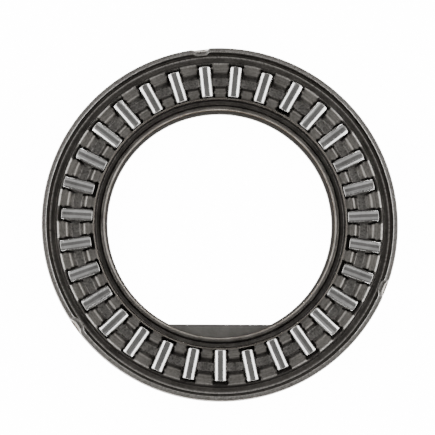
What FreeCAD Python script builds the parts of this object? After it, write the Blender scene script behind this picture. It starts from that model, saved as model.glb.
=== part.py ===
import FreeCAD, Part
import math
import os

# Single-direction thrust needle roller bearing: a pressed steel race on a keyed washer, and a
# pressed cage that carries the rollers and is caught under three stakes in the race's lip.
# +Z is the bearing's axis and points to its open side. The origin is on the axis, in the
# washer's bottom face. The flat of the washer's D-shaped bore faces -Y.
# All lengths are in millimetres and all angles in degrees.

# Rollers
ROLLER_COUNT = 31
ROLLER_RADIUS = 1.0
ROLLER_LENGTH = 4.4
ROLLER_END_ROUNDING = 0.15
PITCH_RADIUS = 20.6
FIRST_ROLLER_ANGLE = 270.0
OIL_FILM = 0.01

# A roller has a little room along its window. Most lie at the window's inner end.
ROLLER_END_PLAY = 0.19
ROLLERS_AT_OUTER_END = (2, 7, 8, 14, 23, 25, 28, 29, 30)
ROLLERS_IN_THE_MIDDLE = (26, 27, 31)

# Keyed washer
WASHER_THICKNESS = 0.4
WASHER_RADIUS = 25.0
WASHER_BORE_RADIUS = 16.0
FLAT_DISTANCE = 14.3
FLAT_CORNER_ROUNDING = 1.0
WASHER_EDGE_ROUNDING = 0.12

# Lipped race, pressed from one sheet
RACE_SHEET = 0.7
RACE_BEND = 0.4
RACE_EDGE_ROUNDING = 0.15
OUTER_LIP_RADIUS = 25.4
OUTER_LIP_TOP = 2.45
INNER_LIP_BORE_RADIUS = 16.4
INNER_LIP_TOP = 1.95

# Stakes: short stretches of the outer lip, pressed inwards over the cage's rim
STAKE_ANGLES = (96.4, 216.1, 338.4)
STAKE_HALF_ANGLE = 2.8
STAKE_DEPTH = 0.55
STAKE_ROOT = 1.7

# Cage, pressed from one thinner sheet: low rims, two high pads and a low channel between them
CAGE_SHEET = 0.35
CAGE_BEND = 0.3
CAGE_EDGE_ROUNDING = 0.1
CAGE_LOW = 1.2
CAGE_PAD_RISE = 1.0
CAGE_BORE_RADIUS = 17.2
CAGE_OUTER_RADIUS = 24.3
INNER_STEP = (17.85, 18.1)
INNER_SLOPE = (19.92, 19.37)
OUTER_SLOPE = (21.2, 21.95)
OUTER_STEP = (23.3, 23.05)

# Window: a long opening, narrower across the channel, with a relief beside each slope
WINDOW_INNER_END = 18.18
WINDOW_OUTER_END = 23.05
WINDOW_HALF_WIDTH = 1.1
WINDOW_CORNER_ROUNDING = 0.15
CHANNEL_HALF_WIDTH = 0.93
CHANNEL_EDGE = (19.97, 21.15)
RELIEF_HALF_WIDTH = 1.2
RELIEF_EDGE = (19.4, 21.85)

# Retaining nibs: the top edge of each pad, coined out over the roller's flank
NIB_HALF_WIDTH = 0.975
NIB_HEIGHT = 0.17
INNER_NIB = (18.6, 19.05)
OUTER_NIB = (22.2, 22.65)

# Derived heights
FLOOR_TOP = WASHER_THICKNESS + RACE_SHEET
ROLLER_AXIS_HEIGHT = FLOOR_TOP + OIL_FILM + ROLLER_RADIUS
PAD_TOP = CAGE_LOW + CAGE_PAD_RISE + CAGE_SHEET

ORIGIN = FreeCAD.Vector(0, 0, 0)
AXIS = FreeCAD.Vector(0, 0, 1)
CLEAR = 5.0


def section_point(radius, height):
    """A point of a section, in the half plane that is turned about the bearing's axis."""
    return FreeCAD.Vector(radius, 0, height)


def rounded_outline(corners):
    """A face inside straight runs; corners holds pairs of a point and its rounding radius."""
    arcs = []
    for index, (corner, rounding) in enumerate(corners):
        before = corners[index - 1][0] - corner
        after = corners[(index + 1) % len(corners)][0] - corner
        before.normalize()
        after.normalize()
        half_angle = before.getAngle(after) / 2
        setback = rounding / math.tan(half_angle)
        bisector = (before + after).normalize()
        depth = rounding / math.sin(half_angle) - rounding
        arcs.append((corner + before * setback, corner + bisector * depth, corner + after * setback))
    edges = []
    for index, (start, middle, stop) in enumerate(arcs):
        if corners[index][1] > 0:
            edges.append(Part.Arc(start, middle, stop).toShape())
        edges.append(Part.LineSegment(stop, arcs[(index + 1) % len(arcs)][0]).toShape())
    return Part.Face(Part.Wire(edges))


def sheet_section(path, sheet, bend, edge_rounding):
    """The section of a bent sheet; path is its mid line and bend the mid line's radius."""
    half = sheet / 2
    runs = []
    for start, stop in zip(path, path[1:]):
        runs.append((section_point(*stop) - section_point(*start)).normalize())
    sides = [section_point(-run.z, run.x) for run in runs]
    left = [(section_point(*path[0]) + sides[0] * half, edge_rounding)]
    right = [(section_point(*path[0]) - sides[0] * half, edge_rounding)]
    for index in range(1, len(path) - 1):
        mitre = (sides[index - 1] + sides[index]).normalize()
        reach = mitre * (half / mitre.dot(sides[index]))
        turn = math.copysign(half, runs[index].dot(sides[index - 1]))
        left.append((section_point(*path[index]) + reach, bend - turn))
        right.append((section_point(*path[index]) - reach, bend + turn))
    left.append((section_point(*path[-1]) + sides[-1] * half, edge_rounding))
    right.append((section_point(*path[-1]) - sides[-1] * half, edge_rounding))
    return rounded_outline(left + right[::-1])


def full_ring(section):
    """The solid swept by a section turned once about the bearing's axis."""
    return section.revolve(ORIGIN, AXIS, 360)


def sector(outline, middle_angle, half_angle):
    """The solid swept by an outline of (radius, height) points over part of a turn."""
    points = [section_point(*place) for place in outline]
    face = Part.Face(Part.makePolygon(points + points[:1]))
    face.rotate(ORIGIN, AXIS, middle_angle - half_angle)
    return face.revolve(ORIGIN, AXIS, 2 * half_angle)


def make_keyed_washer():
    """Flat washer whose round bore is closed on one side by a straight edge."""
    disc = Part.makeCylinder(WASHER_RADIUS, WASHER_THICKNESS)
    bore = Part.makeCylinder(WASHER_BORE_RADIUS, WASHER_THICKNESS)
    beyond_flat = Part.makeBox(
        2 * WASHER_RADIUS,
        WASHER_RADIUS,
        WASHER_THICKNESS,
        FreeCAD.Vector(-WASHER_RADIUS, -WASHER_RADIUS - FLAT_DISTANCE, 0),
    )
    keyed_bore = bore.cut(beyond_flat)
    upright = [edge for edge in keyed_bore.Edges if is_upright_flat_end(edge)]
    washer = disc.cut(keyed_bore.makeFillet(FLAT_CORNER_ROUNDING, upright))
    return washer.makeFillet(WASHER_EDGE_ROUNDING, [edge for edge in washer.Edges if is_level(edge)])


def is_level(edge):
    """True for an edge that lies in a level plane."""
    return edge.BoundBox.ZLength < 1e-6


def is_upright_flat_end(edge):
    """True for an upright edge at an end of the bore's flat."""
    return edge.BoundBox.YLength < 1e-6 and abs(edge.BoundBox.YMin + FLAT_DISTANCE) < 1e-6 and not is_level(edge)


def make_lipped_race():
    """Pressed race: flat floor, low inner lip, and high outer lip with its stakes."""
    inner_wall = INNER_LIP_BORE_RADIUS + RACE_SHEET / 2
    outer_wall = OUTER_LIP_RADIUS - RACE_SHEET / 2
    floor = FLOOR_TOP - RACE_SHEET / 2
    path = [
        (inner_wall, INNER_LIP_TOP),
        (inner_wall, floor),
        (outer_wall, floor),
        (outer_wall, OUTER_LIP_TOP),
    ]
    race = full_ring(sheet_section(path, RACE_SHEET, RACE_BEND, RACE_EDGE_ROUNDING))
    outside = OUTER_LIP_RADIUS
    inside = OUTER_LIP_RADIUS - RACE_SHEET
    removed_lip = [
        (inside - 1, STAKE_ROOT),
        (outside + 1, STAKE_ROOT),
        (outside + 1, OUTER_LIP_TOP + 1),
        (inside - 1, OUTER_LIP_TOP + 1),
    ]
    leaning_lip = [
        (inside, STAKE_ROOT - RACE_BEND),
        (outside, STAKE_ROOT - RACE_BEND),
        (outside, STAKE_ROOT),
        (outside - STAKE_DEPTH, OUTER_LIP_TOP),
        (inside - STAKE_DEPTH, OUTER_LIP_TOP),
        (inside - STAKE_DEPTH, OUTER_LIP_TOP - RACE_SHEET / 2),
        (inside, STAKE_ROOT),
    ]
    for angle in STAKE_ANGLES:
        race = race.cut(sector(removed_lip, angle, STAKE_HALF_ANGLE))
        race = race.fuse(sector(leaning_lip, angle, STAKE_HALF_ANGLE))
    return race.removeSplitter()


def make_window_tool():
    """The space of one window, lying along +X, with the retaining nibs left out of it."""
    inner_edge, outer_edge = CHANNEL_EDGE
    inner_relief, outer_relief = RELIEF_EDGE
    upper_side = [
        (WINDOW_INNER_END, WINDOW_HALF_WIDTH, WINDOW_CORNER_ROUNDING),
        (inner_relief, WINDOW_HALF_WIDTH, 0),
        (inner_relief, RELIEF_HALF_WIDTH, 0),
        (inner_edge, RELIEF_HALF_WIDTH, 0),
        (inner_edge, CHANNEL_HALF_WIDTH, 0),
        (outer_edge, CHANNEL_HALF_WIDTH, 0),
        (outer_edge, RELIEF_HALF_WIDTH, 0),
        (outer_relief, RELIEF_HALF_WIDTH, 0),
        (outer_relief, WINDOW_HALF_WIDTH, 0),
        (WINDOW_OUTER_END, WINDOW_HALF_WIDTH, WINDOW_CORNER_ROUNDING),
    ]
    corners = [(FreeCAD.Vector(along, across, 0), rounding) for along, across, rounding in upper_side]
    corners += [(FreeCAD.Vector(along, -across, 0), rounding) for along, across, rounding in upper_side[::-1]]
    tool = rounded_outline(corners).extrude(FreeCAD.Vector(0, 0, CLEAR))
    for start, stop in (INNER_NIB, OUTER_NIB):
        for across in (NIB_HALF_WIDTH, -NIB_HALF_WIDTH - CLEAR):
            base = FreeCAD.Vector(start, across, PAD_TOP - NIB_HEIGHT)
            tool = tool.cut(Part.makeBox(stop - start, CLEAR, CLEAR, base))
    return tool


def roller_angle(index):
    """The direction of a roller's axis; rollers are counted from 0, counter-clockwise."""
    return FIRST_ROLLER_ANGLE + index * 360 / ROLLER_COUNT


def make_cage():
    """Pressed cage ring with one window for each roller."""
    low = CAGE_LOW + CAGE_SHEET / 2
    high = low + CAGE_PAD_RISE
    path = [
        (CAGE_BORE_RADIUS, low),
        (INNER_STEP[0], low),
        (INNER_STEP[1], high),
        (INNER_SLOPE[1], high),
        (INNER_SLOPE[0], low),
        (OUTER_SLOPE[0], low),
        (OUTER_SLOPE[1], high),
        (OUTER_STEP[1], high),
        (OUTER_STEP[0], low),
        (CAGE_OUTER_RADIUS, low),
    ]
    cage = full_ring(sheet_section(path, CAGE_SHEET, CAGE_BEND, CAGE_EDGE_ROUNDING))
    tool = make_window_tool()
    windows = [tool.rotated(ORIGIN, AXIS, roller_angle(index)) for index in range(ROLLER_COUNT)]
    return cage.cut(Part.makeCompound(windows))


def make_roller(index):
    """One needle, its axis radial, lying where it has slid to in its window."""
    shift = -ROLLER_END_PLAY
    if index + 1 in ROLLERS_AT_OUTER_END:
        shift = ROLLER_END_PLAY
    if index + 1 in ROLLERS_IN_THE_MIDDLE:
        shift = 0
    start = FreeCAD.Vector(PITCH_RADIUS + shift - ROLLER_LENGTH / 2, 0, ROLLER_AXIS_HEIGHT)
    roller = Part.makeCylinder(ROLLER_RADIUS, ROLLER_LENGTH, start, FreeCAD.Vector(1, 0, 0))
    rims = [edge for edge in roller.Edges if edge.BoundBox.XLength < 1e-6]
    roller = roller.makeFillet(ROLLER_END_ROUNDING, rims)
    return roller.rotated(ORIGIN, AXIS, roller_angle(index))


def save(name, shape):
    """Writes one sub-part, which has to be a single valid solid."""
    solid = shape.Solids[0]
    if len(shape.Solids) != 1 or not solid.isValid():
        raise ValueError(f"{name} is not one valid solid")
    solid.exportStep(os.path.join("parts", name + ".step"))
    print(f"{name}: {solid.Volume:.2f} mm3")


os.makedirs("parts", exist_ok=True)
save("keyed_washer", make_keyed_washer())
save("lipped_race", make_lipped_race())
save("cage", make_cage())
for roller_index in range(ROLLER_COUNT):
    save(f"roller_{roller_index + 1:02d}", make_roller(roller_index))
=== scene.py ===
import math

import bpy
from mathutils import Matrix, Vector


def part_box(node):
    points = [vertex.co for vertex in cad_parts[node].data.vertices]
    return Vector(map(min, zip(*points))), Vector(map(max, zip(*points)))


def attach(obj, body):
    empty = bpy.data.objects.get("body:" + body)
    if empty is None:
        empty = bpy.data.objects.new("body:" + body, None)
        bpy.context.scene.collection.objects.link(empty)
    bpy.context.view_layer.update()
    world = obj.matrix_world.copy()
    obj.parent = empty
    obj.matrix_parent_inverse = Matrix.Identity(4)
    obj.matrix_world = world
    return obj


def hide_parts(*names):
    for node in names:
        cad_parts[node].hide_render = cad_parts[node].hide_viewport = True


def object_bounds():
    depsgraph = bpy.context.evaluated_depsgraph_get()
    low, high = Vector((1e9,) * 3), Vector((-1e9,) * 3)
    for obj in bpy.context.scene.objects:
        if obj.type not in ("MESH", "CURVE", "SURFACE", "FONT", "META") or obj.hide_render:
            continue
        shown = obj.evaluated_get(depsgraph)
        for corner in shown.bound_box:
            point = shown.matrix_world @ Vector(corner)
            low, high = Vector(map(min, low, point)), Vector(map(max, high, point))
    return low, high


# Looks of a thrust needle roller bearing: the pressed race with its three stakes, the keyed washer
# under it, the pressed cage and its rollers. Lengths are in metres, angles in radians.
MM = 0.001

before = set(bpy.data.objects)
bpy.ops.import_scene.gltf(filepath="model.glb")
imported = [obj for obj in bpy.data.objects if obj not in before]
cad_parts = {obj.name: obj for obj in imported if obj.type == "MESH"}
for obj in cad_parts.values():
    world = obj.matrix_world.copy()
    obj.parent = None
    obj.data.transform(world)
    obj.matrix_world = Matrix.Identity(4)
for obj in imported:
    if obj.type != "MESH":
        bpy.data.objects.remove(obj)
cad_low, cad_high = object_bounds()
race_low, race_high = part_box("lipped_race")
washer_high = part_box("keyed_washer")[1]
cage_low, cage_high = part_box("cage")

# Race
RACE_SHEET = 0.7 * MM
RACE_BEND = 0.4 * MM
RACE_EDGE = 0.15 * MM
INNER_LIP_ROUNDING = 0.33 * MM
OUTER_LIP_RADIUS = race_high.x
OUTER_LIP_TOP = race_high.z
INNER_LIP_BORE = 16.4 * MM
INNER_LIP_TOP = 1.95 * MM
FLOOR_TOP = race_low.z + RACE_SHEET
RACE_MIDDLE = 20 * MM
STAKES = [math.radians(angle) for angle in (96.4, 216.1, 338.4)]
STAKE_HALF_ANGLE = math.radians(2.5)
STAKE_RAMP = math.radians(1.4)
STAKE_DEPTH = 0.42 * MM
STAKE_ROOT = 1.6 * MM
STAKE_SINK = 0.12 * MM
STAKE_OVERSHOOT = 0.35 * MM
BURRS = [math.radians(angle) for angle in (94.1, 213.4, 335.6, 341.1)]
BURR_HALF_ANGLE = math.radians(0.42)

# Washer
WASHER_RADIUS = washer_high.x
WASHER_TOP = washer_high.z
WASHER_BORE = 16.0 * MM
FLAT_DISTANCE = 14.3 * MM
WASHER_EDGE = 0.12 * MM
WASHER_WEAR = 0.05

# Cage
CAGE_SHEET = 0.35 * MM
CAGE_BEND = 0.3 * MM
CAGE_BORE = 17.2 * MM
CAGE_RADIUS = cage_high.x
CAGE_MID = cage_low.z + CAGE_SHEET / 2
CAGE_RISE = cage_high.z - cage_low.z - CAGE_SHEET
INNER_STEP = (17.85 * MM, 18.1 * MM)
INNER_SLOPE = (19.85 * MM, 19.25 * MM)
OUTER_SLOPE = (21.2 * MM, 21.95 * MM)
OUTER_STEP = (23.3 * MM, 23.05 * MM)
WINDOW_ENDS = (18.18 * MM, 23.05 * MM)
WINDOW_CORNER = 0.15 * MM
RELIEF_ENDS = (19.4 * MM, 21.85 * MM)
CHANNEL_ENDS = (20.0 * MM, 21.12 * MM)
PAD_BLEND = 0.25 * MM
CHANNEL_BLEND = 0.1 * MM
WINDOW_HALF_WIDTH = 1.15 * MM
RELIEF_HALF_WIDTH = 1.2 * MM
CHANNEL_HALF_WIDTH = 0.93 * MM
NIB_HALF_WIDTH = 1.02 * MM
NIB_PLACES = (18.82 * MM, 22.42 * MM)
NIB_REACH = 0.25 * MM
COIN_FROM_EDGE = 0.22 * MM
COIN_WIDTH = 0.11 * MM
COIN_DEPTH = 0.06 * MM
# Radius of a painted highlight along the outer pads' bend.
PAINTED_HIGHLIGHT_RADIUS = 23.08 * MM
# Radius of painted shade over the inner step's bend.
PAINTED_SHADE_RADIUS = 17.97 * MM
# Painted shade on all of the cage's underside.
BACK_PAINTED_SHADE = 0.9

# Rollers
ROLLERS = sorted(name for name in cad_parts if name.startswith("roller_"))
PITCH_ANGLE = 2 * math.pi / len(ROLLERS)
FIRST_ANGLE = -math.pi / 2
ROLLER_RADIUS = 1.0 * MM
ROLLER_LENGTH = 4.4 * MM
ROLLER_ROUNDING = 0.15 * MM


def smooth(low, high, value):
    """0 below low, 1 above high and an even curve between."""
    share = min(1.0, max(0.0, (value - low) / (high - low)))
    return share * share * (3 - 2 * share)


def bump(value, middle, width):
    """1 at the middle, falling evenly to nearly 0 two widths away."""
    return math.exp(-(((value - middle) / width) ** 2))


def interpolate(points, place):
    """The height at a place of a line through points of (place, height)."""
    for (start, low), (stop, high) in zip(points, points[1:]):
        if place <= stop:
            return low + (high - low) * max(0.0, (place - start) / (stop - start))
    return points[-1][1]


def bent_path(path, bend, run_step, arc_steps):
    """Samples (point, left normal) along a line of straight runs whose corners are round."""
    corners = [Vector(place) for place in path]
    samples = []
    start = corners[0]
    for index in range(1, len(corners)):
        heading = (corners[index] - corners[index - 1]).normalized()
        left = Vector((-heading.y, heading.x))
        stop = corners[index]
        turn = 0.0
        if index < len(corners) - 1:
            onward = (corners[index + 1] - corners[index]).normalized()
            turn = math.atan2(heading.x * onward.y - heading.y * onward.x, heading.dot(onward))
            stop = corners[index] - heading * (bend * math.tan(abs(turn) / 2))
        steps = max(1, round((stop - start).length / run_step))
        samples += [(start.lerp(stop, step / steps), left) for step in range(steps)]
        start = stop
        if turn:
            side = math.copysign(1, turn)
            centre = stop + left * (bend * side)
            for step in range(arc_steps + 1):
                normal = Matrix.Rotation(turn * step / arc_steps, 2) @ left
                spot = centre - normal * (bend * side)
                if step < arc_steps:
                    samples.append((spot, normal))
                start = spot
    samples.append((corners[-1], left))
    return samples


def round_end(spot, heading, half, rounding, steps):
    """Points across a sheet's end from its left face to its right one, with round edges."""
    left = Vector((-heading.y, heading.x))
    points = []
    for side in (1, -1):
        centre = spot - heading * rounding + left * (side * (half - rounding))
        for step in range(steps + 1):
            angle = math.pi / 2 * (step / steps if side > 0 else 1 - step / steps)
            points.append(centre + (left * (side * math.cos(angle)) + heading * math.sin(angle)) * rounding)
    return points


def sheet_outline(path, sheet, bend, roundings, run_step, arc_steps):
    """The closed outline of a bent sheet's section; roundings are its first and last end's."""
    half = sheet / 2
    samples = bent_path(path, bend, run_step, arc_steps)
    first_heading = Vector((samples[0][1].y, -samples[0][1].x))
    last_heading = Vector((samples[-1][1].y, -samples[-1][1].x))
    outline = [spot + normal * half for spot, normal in samples[2:-2]]
    outline += round_end(samples[-1][0], last_heading, half, roundings[1], 6)
    outline += [spot - normal * half for spot, normal in samples[-3:1:-1]]
    outline += round_end(samples[0][0], -first_heading, half, roundings[0], 6)
    return outline


def make_object(name, points, faces, marks=None):
    """A mesh object from points and faces, with named values at each point for its material."""
    mesh = bpy.data.meshes.new(name)
    mesh.from_pydata(points, [], faces)
    mesh.validate()
    for mark, values in (marks or {}).items():
        attribute = mesh.attributes.new(mark, "FLOAT", "POINT")
        attribute.data.foreach_set("value", values)
    mesh.shade_smooth()
    piece = bpy.data.objects.new(name, mesh)
    bpy.context.scene.collection.objects.link(piece)
    return piece


def soften(piece, width):
    """Rounds a piece's sharp edges and keeps its flat faces flat in the light."""
    bevel = piece.modifiers.new("edges", "BEVEL")
    bevel.width = width
    bevel.segments = 2
    bevel.limit_method = "ANGLE"
    bevel.angle_limit = math.radians(50)
    bevel.use_clamp_overlap = True
    even_light(piece)


def even_light(piece):
    """Weights a piece's normals by its faces' areas."""
    normals = piece.modifiers.new("normals", "WEIGHTED_NORMAL")
    normals.keep_sharp = True


def finish_piece(piece, body, slot, material, *nodes):
    """Puts a piece on its body in place of its CAD nodes, and gives it its material."""
    piece.data.materials.append(material)
    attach(piece, body)
    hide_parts(*nodes)


# Materials


def add_node(tree, kind, **inputs):
    """A shader node with its inputs set to values or linked from other nodes' sockets."""
    node = tree.nodes.new(kind)
    for name, value in inputs.items():
        by_number = name[0] == "i" and name[1:].isdigit()
        socket = node.inputs[int(name[1:])] if by_number else node.inputs[name]
        if isinstance(value, bpy.types.NodeSocket):
            tree.links.new(value, socket)
        else:
            socket.default_value = value
    return node


def math_node(tree, operation, first, second=0.0, third=0.0, clamp=False):
    """The result of a sum on up to three values or sockets."""
    node = add_node(tree, "ShaderNodeMath", i0=first, i1=second, i2=third)
    node.operation = operation
    node.use_clamp = clamp
    return node.outputs[0]


def mix_colour(tree, share, first, second):
    """A colour between two others."""
    node = tree.nodes.new("ShaderNodeMix")
    node.data_type = "RGBA"
    for socket, value in ((node.inputs[0], share), (node.inputs[6], first), (node.inputs[7], second)):
        if isinstance(value, bpy.types.NodeSocket):
            tree.links.new(value, socket)
        else:
            socket.default_value = value
    return node.outputs[2]


def noise_at(tree, where, size, detail=4.0, roughness=0.55):
    """Noise whose features are about size across, from 0 to 1."""
    inputs = {"Vector": where, "Scale": 1 / size, "Detail": detail, "Roughness": roughness}
    return add_node(tree, "ShaderNodeTexNoise", **inputs).outputs["Fac"]


def contrast(tree, value, low, high):
    """A value stretched so that low becomes 0 and high becomes 1."""
    node = add_node(tree, "ShaderNodeMapRange", Value=value)
    node.inputs["From Min"].default_value = low
    node.inputs["From Max"].default_value = high
    return node.outputs[0]


def steel(name, clean, stained_and_shaded, worn_and_highlit, roughness, lines, grain):
    """Oiled steel: stains, fine grain, tool lines, painted shade where its dark mark is high, and bright
    metal, partly painted highlight, where its bright mark is high.
    """
    material = bpy.data.materials.new(name)
    material.use_nodes = True
    tree = material.node_tree
    shader = tree.nodes["Principled BSDF"]
    shader.inputs["Metallic"].default_value = 1.0
    shader.inputs["Specular Tint"].default_value = (0.3, 0.3, 0.3, 1)
    where = tree.nodes.new("ShaderNodeTexCoord").outputs["Object"]
    # One mark gives bright metal and painted highlights, the other painted shade.
    wear_and_painted_highlight = tree.nodes.new("ShaderNodeAttribute")
    wear_and_painted_highlight.attribute_name = "wear_and_painted_highlight"
    painted_shade_mark = tree.nodes.new("ShaderNodeAttribute")
    painted_shade_mark.attribute_name = "painted_shade_mark"
    blotches = noise_at(tree, where, 2.2 * MM)
    speckle = noise_at(tree, where, 0.24 * MM, detail=4.0, roughness=0.75)
    line_noise = noise_at(tree, lines(tree, where), 0.09 * MM, detail=3.0, roughness=0.6)
    stain_and_painted_shade = math_node(tree, "MULTIPLY", contrast(tree, blotches, 0.35, 0.7), 0.45)
    # The painted shade is added to the stains.
    stain_and_painted_shade = math_node(tree, "ADD", stain_and_painted_shade, painted_shade_mark.outputs["Fac"], clamp=True)
    colour = mix_colour(tree, stain_and_painted_shade, (*clean, 1), (*stained_and_shaded, 1))
    shade = contrast(tree, math_node(tree, "ADD", speckle, line_noise), 0.8, 1.35)
    clear = math_node(tree, "SUBTRACT", 1.0, painted_shade_mark.outputs["Fac"], clamp=True)
    shade = math_node(tree, "MULTIPLY", shade, math_node(tree, "MULTIPLY", clear, 0.2))
    colour = mix_colour(tree, shade, colour, (*worn_and_highlit, 1))
    # Bright metal where the bright mark is high, which holds painted highlights as well as rubbed metal.
    bright = math_node(tree, "MULTIPLY", wear_and_painted_highlight.outputs["Fac"], contrast(tree, speckle, 0.3, 0.62), clamp=True)
    colour = mix_colour(tree, bright, colour, (*worn_and_highlit, 1))
    tree.links.new(colour, shader.inputs["Base Color"])
    rough = math_node(tree, "MULTIPLY_ADD", speckle, 0.16, roughness - 0.08)
    rough = math_node(tree, "SUBTRACT", rough, math_node(tree, "MULTIPLY", bright, 0.12), clamp=True)
    tree.links.new(rough, shader.inputs["Roughness"])
    relief = math_node(tree, "ADD", math_node(tree, "MULTIPLY", speckle, 0.6), line_noise)
    bumps = add_node(tree, "ShaderNodeBump", Height=relief, Strength=grain, Distance=0.02 * MM)
    tree.links.new(bumps.outputs[0], shader.inputs["Normal"])
    return material


def lines_round_axis(tree, where):
    """Coordinates that change with the radius and the height only: tool lines in circles."""
    split = add_node(tree, "ShaderNodeSeparateXYZ", Vector=where)
    across = math_node(tree, "MULTIPLY", split.outputs["X"], split.outputs["X"])
    along = math_node(tree, "MULTIPLY", split.outputs["Y"], split.outputs["Y"])
    radius = math_node(tree, "SQRT", math_node(tree, "ADD", across, along))
    slow = math_node(tree, "MULTIPLY", split.outputs["X"], 0.04)
    return add_node(tree, "ShaderNodeCombineXYZ", X=radius, Y=split.outputs["Z"], Z=slow).outputs[0]


def lines_round_roller(tree, where):
    """Coordinates that change along the roller only: fine grinding rings."""
    split = add_node(tree, "ShaderNodeSeparateXYZ", Vector=where)
    slow = math_node(tree, "MULTIPLY", split.outputs["Y"], 0.05)
    return add_node(tree, "ShaderNodeCombineXYZ", X=split.outputs["X"], Y=slow).outputs[0]


def brush_round_axis(material):
    """Draws a material's highlights out as grinding round the X axis does."""
    tree = material.node_tree
    shader = tree.nodes["Principled BSDF"]
    shader.inputs["Anisotropic"].default_value = 0.6
    shader.inputs["Anisotropic Rotation"].default_value = 0.25
    tangent = tree.nodes.new("ShaderNodeTangent")
    tangent.direction_type = "RADIAL"
    tangent.axis = "X"
    tree.links.new(tangent.outputs[0], shader.inputs["Tangent"])


# The stained colours also give the painted shade, and the bright-metal colours the painted highlights.
race_steel = steel(
    "race_steel",
    clean=(0.17, 0.159, 0.144),
    stained_and_shaded=(0.03, 0.026, 0.022),
    worn_and_highlit=(0.72, 0.70, 0.67),
    roughness=0.46,
    lines=lines_round_axis,
    grain=0.45,
)
washer_steel = steel(
    "washer_steel",
    clean=(0.20, 0.192, 0.18),
    stained_and_shaded=(0.12, 0.113, 0.104),
    worn_and_highlit=(0.4, 0.39, 0.37),
    roughness=0.52,
    lines=lines_round_axis,
    grain=0.3,
)
cage_steel = steel(
    "cage_steel",
    clean=(0.17, 0.16, 0.146),
    stained_and_shaded=(0.04, 0.036, 0.032),
    worn_and_highlit=(0.72, 0.70, 0.67),
    roughness=0.5,
    lines=lines_round_axis,
    grain=0.5,
)
roller_steel = steel(
    "roller_steel",
    clean=(0.66, 0.655, 0.645),
    stained_and_shaded=(0.16, 0.155, 0.15),
    worn_and_highlit=(0.85, 0.85, 0.84),
    roughness=0.2,
    lines=lines_round_roller,
    grain=0.06,
)
brush_round_axis(roller_steel)


# Race


def turn_between(first, second):
    """The smaller angle between two directions."""
    return abs((first - second + math.pi) % (2 * math.pi) - math.pi)


def ring_faces(columns, rows, outward):
    """The faces of a closed section turned once round; outward sets which way they look."""
    faces = []
    for column in range(columns):
        onward = (column + 1) % columns
        for row in range(rows):
            below = (row + 1) % rows
            here, there = column * rows, onward * rows
            face = (here + row, here + below, there + below, there + row)
            faces.append(face if outward else face[:1] + face[:0:-1])
    return faces


def stake_share(angle):
    """How far the lip is pressed in at an angle, from 0 to 1."""
    share = 0.0
    for stake in STAKES:
        away = turn_between(angle, stake)
        ramp = (STAKE_HALF_ANGLE - STAKE_RAMP, STAKE_HALF_ANGLE + STAKE_RAMP / 2)
        share = max(share, 1 - smooth(*ramp, away))
    return share


def turn_angles(coarse, fine):
    """Angles once round, closer together at the stakes."""
    angles = []
    angle = 0.0
    while angle < 2 * math.pi - fine / 2:
        angles.append(angle)
        near = any(turn_between(angle, stake) < 2 * STAKE_HALF_ANGLE for stake in STAKES)
        angle += fine if near else coarse
    return angles


def burr_highlight_share(angle):
    """How near an angle is to a burr that pressing a stake left at its end, from 0 to 1: a painted
    highlight, as the burr has no shape.
    """
    return bump(min(turn_between(angle, burr) for burr in BURRS), 0.0, BURR_HALF_ANGLE)


def race_marks(radius, height, pressed, burr):
    """How much bright metal and painted highlight, and how much painted shade, the race has at a place of
    its section.

    pressed and burr are the shares of a stake and of a burr's painted highlight at that
    angle. The radius and height are those before the stake is pressed.
    """
    outer = radius > RACE_MIDDLE
    top = OUTER_LIP_TOP if outer else INNER_LIP_TOP
    near_top = smooth(top - 0.14 * MM, top - 0.02 * MM, height)
    walls = 1 - smooth(top - 0.3 * MM, top - 0.05 * MM, height)
    lip_depth = RACE_SHEET - RACE_EDGE
    between_lips = OUTER_LIP_RADIUS - lip_depth > radius > INNER_LIP_BORE + lip_depth
    # Painted shade on the bore wall and the outer lip's outside, and a little on the rest below the lip
    # tops.
    painted_shade = (0.1 if between_lips else 0.97) * walls
    if outer:
        from_inside = radius - (OUTER_LIP_RADIUS - RACE_SHEET)
        inner_edge = 1 - smooth(0.1 * MM, 0.26 * MM, from_inside)
        outer_edge = smooth(RACE_SHEET - 0.18 * MM, RACE_SHEET - 0.03 * MM, from_inside)
        # The bright marks at the burrs are painted highlights; the burrs have no shape.
        worn_and_highlit = near_top * max(0.75 * inner_edge, 0.1, 0.22 * pressed * outer_edge, 1.4 * burr)
        middle = smooth(0.14 * MM, 0.28 * MM, from_inside) * (1 - outer_edge) * near_top
        # Painted shade across the middle of each stake's dent.
        painted_shade = max(painted_shade, 0.7 * pressed * middle)
    else:
        from_bore = radius - INNER_LIP_BORE
        worn_and_highlit = 0.0
        # Painted shade on the inner lip, strongest at its bore edge, and on its side towards the cage.
        bore_side = 0.75 - 0.55 * smooth(0.06 * MM, 0.2 * MM, from_bore)
        cage_side = 0.55 * smooth(0.36 * MM, 0.5 * MM, from_bore)
        painted_shade = max(painted_shade, bore_side, cage_side)
    return worn_and_highlit, painted_shade


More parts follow.
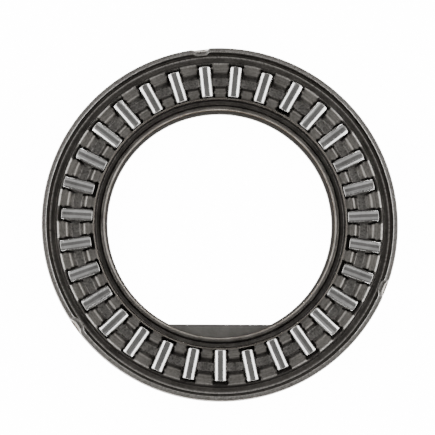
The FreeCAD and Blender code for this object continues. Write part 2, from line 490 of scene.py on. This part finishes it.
def make_race():
    """The pressed race, its outer lip dented inwards at the stakes."""
    inner_wall = INNER_LIP_BORE + RACE_SHEET / 2
    outer_wall = OUTER_LIP_RADIUS - RACE_SHEET / 2
    floor = FLOOR_TOP - RACE_SHEET / 2
    path = [
        (inner_wall, INNER_LIP_TOP),
        (inner_wall, floor),
        (outer_wall, floor),
        (outer_wall, OUTER_LIP_TOP),
    ]
    outline = sheet_outline(path, RACE_SHEET, RACE_BEND, (INNER_LIP_ROUNDING, RACE_EDGE), 0.2 * MM, 6)
    lean_end = OUTER_LIP_TOP + STAKE_OVERSHOOT
    full_lean = smooth(STAKE_ROOT, lean_end, OUTER_LIP_TOP)
    angles = turn_angles(math.radians(1), math.radians(0.12))
    points, wear_and_painted_highlight, painted_shade_mark = [], [], []
    for angle in angles:
        pressed = stake_share(angle)
        burr = burr_highlight_share(angle)
        for radius, height in outline:
            worn_and_highlit, painted_shade = race_marks(radius, height, pressed, burr)
            share = 0.0
            if radius > OUTER_LIP_RADIUS - 2 * RACE_SHEET:
                share = pressed * smooth(STAKE_ROOT, lean_end, height) / full_lean
            radius -= share * STAKE_DEPTH
            height -= share * STAKE_SINK
            points.append((radius * math.cos(angle), radius * math.sin(angle), height))
            wear_and_painted_highlight.append(worn_and_highlit)
            painted_shade_mark.append(painted_shade)
    faces = ring_faces(len(angles), len(outline), True)
    piece = make_object("race", points, faces, {"wear_and_painted_highlight": wear_and_painted_highlight, "painted_shade_mark": painted_shade_mark})
    even_light(piece)
    finish_piece(piece, "race", "race_steel", race_steel, "lipped_race")


# Washer


def bore_edge(angle, spread):
    """The radius of the D-shaped bore at an angle, widened by spread all round."""
    radius = WASHER_BORE + spread
    toward_flat = -math.sin(angle)
    if toward_flat * radius > FLAT_DISTANCE + spread:
        radius = (FLAT_DISTANCE + spread) / toward_flat
    return radius


def make_washer():
    """The flat washer; its edges are rounded, as the stamping left them."""
    half_flat = math.acos(FLAT_DISTANCE / WASHER_BORE)
    flat_ends = {-math.pi / 2 + half_flat + 2 * math.pi, 3 * math.pi / 2 - half_flat}
    angles = sorted({math.radians(step) for step in range(360)} | flat_ends)
    steps = 4
    quarter = [math.pi / 2 * step / steps for step in range(steps + 1)]
    insets = [(WASHER_EDGE * (1 - math.cos(turn)), WASHER_EDGE * (1 - math.sin(turn))) for turn in quarter]
    points = []
    for angle in angles:
        column = [(bore_edge(angle, spread), WASHER_TOP - drop) for spread, drop in insets]
        column += [(WASHER_RADIUS - inset, WASHER_TOP - drop) for inset, drop in insets[::-1]]
        column += [(WASHER_RADIUS - inset, rise) for inset, rise in insets]
        column += [(bore_edge(angle, spread), rise) for spread, rise in insets[::-1]]
        points += [(radius * math.cos(angle), radius * math.sin(angle), height) for radius, height in column]
    faces = ring_faces(len(angles), len(points) // len(angles), False)
    marks = {"wear_and_painted_highlight": [WASHER_WEAR] * len(points), "painted_shade_mark": [0.0] * len(points)}
    piece = make_object("washer", points, faces, marks)
    even_light(piece)
    finish_piece(piece, "race", "washer_steel", washer_steel, "keyed_washer")


# Cage


def window_half_width(radius):
    """Half the width of a window at a radius, without its nibs."""
    start, stop = WINDOW_ENDS
    outline = [
        (start, WINDOW_HALF_WIDTH),
        (RELIEF_ENDS[0] - PAD_BLEND, WINDOW_HALF_WIDTH),
        (RELIEF_ENDS[0], RELIEF_HALF_WIDTH),
        (CHANNEL_ENDS[0] - CHANNEL_BLEND, RELIEF_HALF_WIDTH),
        (CHANNEL_ENDS[0], CHANNEL_HALF_WIDTH),
        (CHANNEL_ENDS[1], CHANNEL_HALF_WIDTH),
        (CHANNEL_ENDS[1] + CHANNEL_BLEND, RELIEF_HALF_WIDTH),
        (RELIEF_ENDS[1], RELIEF_HALF_WIDTH),
        (RELIEF_ENDS[1] + PAD_BLEND, WINDOW_HALF_WIDTH),
        (stop, WINDOW_HALF_WIDTH),
    ]
    depth = min(WINDOW_CORNER, max(0.0, radius - start), max(0.0, stop - radius))
    corner = WINDOW_CORNER - math.sqrt(max(0.0, WINDOW_CORNER**2 - (WINDOW_CORNER - depth) ** 2))
    return interpolate(outline, radius) - corner


def nib_share(radius):
    """How far the coined nib stands out at a radius, from 0 to 1."""
    return max(1 - smooth(0.4 * NIB_REACH, NIB_REACH, abs(radius - place)) for place in NIB_PLACES)


def cage_marks(radius, low_share, from_edge, inside):
    """How much bright metal the cage has at a radius, from rubbing and as painted highlights along its outer
    edge and the outer pads' bend, and its painted shade; low_share is 1 in its low parts, 0 on its pads.
    """
    in_channel = INNER_SLOPE[1] < radius < OUTER_SLOPE[1]
    edge = 1 - smooth(0.0, 0.1 * MM, from_edge) if inside else 0.0
    # Painted highlights: a bright band along the outer edge and a bright line along the outer pads' bend.
    rim_highlight = 1.5 * smooth(CAGE_RADIUS - 0.26 * MM, CAGE_RADIUS - 0.12 * MM, radius)
    bend_highlight = bump(radius, PAINTED_HIGHLIGHT_RADIUS, 0.1 * MM) * (1 - low_share)
    scuffed = 0.42 * low_share**4 if in_channel else 0.0
    worn_and_highlit = max(0.06 * edge * (1 - low_share), rim_highlight, 0.5 * bend_highlight, scuffed)
    # Painted shade: over the inner step's bend, in the low parts, on the slopes nearest the rollers.
    step_painted_shade = bump(radius, PAINTED_SHADE_RADIUS, 0.28 * MM)
    low_painted_shade = 0.4 * low_share**0.3 if in_channel else (0.5 - 0.33 * rim_highlight) * low_share
    near_roller = 1 - smooth(0.1 * MM, 0.85 * MM, from_edge)
    on_slope = 2 * min(low_share, 1 - low_share) if in_channel else 0.0
    shaded = min(1.0, 2.4 * on_slope) * (0.14 + 0.46 * near_roller)
    # A dark line painted round each window as its shadow.
    outline = 0.7 * (1 - smooth(0.02 * MM, 0.15 * MM, from_edge)) if inside else 0.0
    return worn_and_highlit, max(low_painted_shade, step_painted_shade, shaded, outline)


def make_cage():
    """The pressed cage, its windows with coined nibs over the rollers."""
    high = CAGE_MID + CAGE_RISE
    path = [
        (CAGE_BORE, CAGE_MID),
        (INNER_STEP[0], CAGE_MID),
        (INNER_STEP[1], high),
        (INNER_SLOPE[1], high),
        (INNER_SLOPE[0], CAGE_MID),
        (OUTER_SLOPE[0], CAGE_MID),
        (OUTER_SLOPE[1], high),
        (OUTER_STEP[1], high),
        (OUTER_STEP[0], CAGE_MID),
        (CAGE_RADIUS, CAGE_MID),
    ]
    samples = bent_path(path, CAGE_BEND, 0.11 * MM, 5)
    start, stop = WINDOW_ENDS
    first = next(index for index, (spot, _) in enumerate(samples) if spot.x >= start)
    last = max(index for index, (spot, _) in enumerate(samples) if spot.x <= stop)
    window_columns = 6
    bar_shares = [0, 0.035, 0.09, 0.17, 0.3, 0.5, 0.7, 0.83, 0.91, 0.965]
    columns = window_columns + len(bar_shares)
    points, wear_and_painted_highlight, painted_shade_mark, grid = [], [], [], []
    for face in (1, -1):
        layer = []
        for index, (spot, normal) in enumerate(samples):
            place = spot + normal * (face * CAGE_SHEET / 2)
            mid = min(max(spot.x, samples[first][0].x), samples[last][0].x)
            inside = first <= index <= last
            half = window_half_width(mid)
            if face > 0 and inside:
                half -= (WINDOW_HALF_WIDTH - NIB_HALF_WIDTH) * nib_share(mid)
            edge_angle = math.asin(half / mid)
            low_share = 1 - smooth(CAGE_MID + CAGE_SHEET / 2 + 0.1 * MM, high + CAGE_SHEET / 4, place.y)
            row = []
            for pitch in range(len(ROLLERS)):
                centre = FIRST_ANGLE + pitch * PITCH_ANGLE
                bar = PITCH_ANGLE - 2 * edge_angle
                for column in range(columns):
                    in_window = 0 < column < window_columns
                    if in_window and first < index < last:
                        row.append(None)
                        continue
                    if column < window_columns:
                        angle = centre - edge_angle + 2 * edge_angle * column / window_columns
                        from_edge = 0.0
                    else:
                        share = bar_shares[column - window_columns]
                        angle = centre + edge_angle + bar * share
                        from_edge = min(share, 1 - share) * bar * mid
                    if column == 0:
                        from_edge = 0.0
                    height = place.y
                    if face > 0 and inside:
                        height -= COIN_DEPTH * bump(from_edge, COIN_FROM_EDGE, COIN_WIDTH) * nib_share(mid)
                    row.append(len(points))
                    points.append((place.x * math.cos(angle), place.x * math.sin(angle), height))
                    worn_and_highlit, painted_shade = cage_marks(place.x, low_share, from_edge, inside)
                    wear_and_painted_highlight.append(worn_and_highlit)
                    # The underside gets painted shade all over.
                    painted_shade_mark.append(painted_shade if face > 0 else BACK_PAINTED_SHADE)
            layer.append(row)
        grid.append(layer)
    faces = cage_faces(grid, first, last, window_columns, columns)
    piece = make_object("cage_sheet", points, faces, {"wear_and_painted_highlight": wear_and_painted_highlight, "painted_shade_mark": painted_shade_mark})
    soften(piece, 0.05 * MM)
    finish_piece(piece, "cage", "cage_steel", cage_steel, "cage")


def cage_faces(grid, first, last, window_columns, columns):
    """The cage's faces: both sides of the sheet, the windows' walls and the two rims."""
    top, bottom = grid
    around = columns * len(ROLLERS)
    faces = []
    for row in range(len(top) - 1):
        for column in range(around):
            onward = (column + 1) % around
            in_window = column % columns < window_columns
            if first <= row < last and in_window:
                continue
            above, below = top[row], top[row + 1]
            faces.append((above[column], below[column], below[onward], above[onward]))
            above, below = bottom[row], bottom[row + 1]
            faces.append((above[column], above[onward], below[onward], below[column]))
    for pitch in range(len(ROLLERS)):
        left = pitch * columns
        right = left + window_columns
        for row in range(first, last):
            faces.append((top[row][left], bottom[row][left], bottom[row + 1][left], top[row + 1][left]))
            faces.append((top[row][right], top[row + 1][right], bottom[row + 1][right], bottom[row][right]))
        for column in range(left, right):
            above, below = top[first], bottom[first]
            faces.append((above[column], above[column + 1], below[column + 1], below[column]))
            above, below = top[last], bottom[last]
            faces.append((above[column], below[column], below[column + 1], above[column + 1]))
    for column in range(around):
        onward = (column + 1) % around
        faces.append((top[0][column], top[0][onward], bottom[0][onward], bottom[0][column]))
        faces.append((top[-1][column], bottom[-1][column], bottom[-1][onward], top[-1][onward]))
    return faces


# Rollers


def roller_mesh_parts():
    """The points and faces of one roller along X, and its mark of painted shade on the rounded ends."""
    around = 56
    steps = 5
    half = ROLLER_LENGTH / 2
    profile = [(-half, 0.35 * ROLLER_RADIUS)]
    for step in range(steps, -1, -1):
        turn = math.pi / 2 * step / steps
        along = -half + ROLLER_ROUNDING * (1 - math.sin(turn))
        profile.append((along, ROLLER_RADIUS - ROLLER_ROUNDING * (1 - math.cos(turn))))
    profile += [(-0.75 * half, ROLLER_RADIUS), (0.0, ROLLER_RADIUS)]
    profile += [(-along, radius) for along, radius in profile[-2::-1]]
    points = []
    for along, radius in profile:
        for step in range(around):
            angle = 2 * math.pi * step / around
            points.append((along, radius * math.cos(angle), radius * math.sin(angle)))
    faces = []
    for row in range(len(profile) - 1):
        for step in range(around):
            onward = (step + 1) % around
            here, there = row * around, (row + 1) * around
            faces.append((here + step, there + step, there + onward, here + onward))
    faces.append(tuple(range(around)))
    faces.append(tuple((len(profile) - 1) * around + step for step in range(around - 1, -1, -1)))
    # Painted shade on the rounded ends.
    painted_shade_mark = [smooth(half - ROLLER_ROUNDING, half - 0.5 * ROLLER_ROUNDING, abs(point[0])) for point in points]
    return points, faces, painted_shade_mark


def make_rollers():
    """One needle in each window, where its CAD node lies."""
    points, faces, painted_shade_mark = roller_mesh_parts()
    for index, node in enumerate(ROLLERS):
        low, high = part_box(node)
        angle = FIRST_ANGLE + index * PITCH_ANGLE
        marks = {"wear_and_painted_highlight": [0.0] * len(points), "painted_shade_mark": painted_shade_mark}
        piece = make_object("needle_" + node[-2:], points, faces, marks)
        rolled = Matrix.Rotation(math.pi / 2 * (index % 4), 4, "X")
        spin = rolled @ Matrix.Rotation(math.pi * (index // 4 % 2), 4, "Z")
        piece.matrix_world = Matrix.Translation((low + high) / 2) @ Matrix.Rotation(angle, 4, "Z") @ spin
        even_light(piece)
        finish_piece(piece, node, "roller_steel", roller_steel, node)


make_race()
make_washer()
make_cage()
make_rollers()


# Studio: a white floor, two strong soft lights at the sides, two weak ones in front and behind, and
# a camera almost straight above

CAMERA_DISTANCE = 0.3558
CAMERA_LENS = 207.0
CAMERA_TILT = math.radians(8.8)
CAMERA_SIDE = math.radians(-107)
AIM = Vector((-0.41 * MM, 0.74 * MM, 2.4 * MM))
FLOOR_GLOW = 14.0
SOFTBOX_SIZE = (0.8, 0.3)
SOFTBOX_POWER = 4.15
FILL_SIZE = (0.5, 0.42)
FRONT_FILL_POWER = 0.18
BACK_FILL_POWER = 0.3


def make_camera():
    """The camera, its picture's upward side along +Y."""
    camera = bpy.data.objects.new("camera", bpy.data.cameras.new("camera"))
    camera.data.lens = CAMERA_LENS
    camera.data.clip_start = 0.01
    camera.data.clip_end = 10
    bpy.context.scene.collection.objects.link(camera)
    flat = math.sin(CAMERA_TILT)
    back = Vector((flat * math.cos(CAMERA_SIDE), flat * math.sin(CAMERA_SIDE), math.cos(CAMERA_TILT)))
    right = Vector((0, 1, 0)).cross(back).normalized()
    up = back.cross(right)
    turn = Matrix((right, up, back)).transposed().to_4x4()
    camera.matrix_world = Matrix.Translation(AIM + back * CAMERA_DISTANCE) @ turn
    bpy.context.scene.camera = camera


def make_floor():
    """A plain white floor that the bearing lies on, clear when seen from below."""
    side = 1.5
    corners = [(-side, -side, 0), (side, -side, 0), (side, side, 0), (-side, side, 0)]
    floor = make_object("floor", corners, [(0, 1, 2, 3)])
    floor.location.z = cad_low.z - 0.01 * MM
    material = bpy.data.materials.new("floor_white")
    material.use_nodes = True
    tree = material.node_tree
    shader = tree.nodes["Principled BSDF"]
    shader.inputs["Base Color"].default_value = (0.92, 0.92, 0.92, 1)
    shader.inputs["Roughness"].default_value = 0.7
    shader.inputs["Emission Color"].default_value = (1, 1, 1, 1)
    shader.inputs["Emission Strength"].default_value = FLOOR_GLOW
    clear = tree.nodes.new("ShaderNodeBsdfTransparent").outputs[0]
    side_seen = tree.nodes.new("ShaderNodeNewGeometry").outputs["Backfacing"]
    mix = add_node(tree, "ShaderNodeMixShader", i0=side_seen, i1=shader.outputs[0], i2=clear)
    tree.links.new(mix.outputs[0], tree.nodes["Material Output"].inputs["Surface"])
    floor.data.materials.append(material)


def make_light(name, place, size, power):
    """A square soft light that faces the bearing."""
    lamp = bpy.data.lights.new(name, "AREA")
    lamp.shape = "RECTANGLE"
    lamp.size, lamp.size_y = size
    lamp.energy = power
    light = bpy.data.objects.new(name, lamp)
    light.location = place
    light.rotation_euler = Vector(place).to_track_quat("Z", "Y").to_euler()
    bpy.context.scene.collection.objects.link(light)


def make_world():
    """Dim, even surroundings."""
    world = bpy.data.worlds.new("studio")
    world.use_nodes = True
    world.node_tree.nodes["Background"].inputs["Color"].default_value = (1, 0.985, 0.965, 1)
    world.node_tree.nodes["Background"].inputs["Strength"].default_value = 0.2
    bpy.context.scene.world = world


make_camera()
make_floor()
make_world()
make_light("left_softbox", (-0.36, 0.015, 0.14), SOFTBOX_SIZE, SOFTBOX_POWER)
make_light("right_softbox", (0.36, 0.01, 0.14), SOFTBOX_SIZE, SOFTBOX_POWER)
make_light("front_fill", (-0.06, -0.3, 0.4), FILL_SIZE, FRONT_FILL_POWER)
make_light("back_fill", (0, 0.42, 0.28), FILL_SIZE, BACK_FILL_POWER)
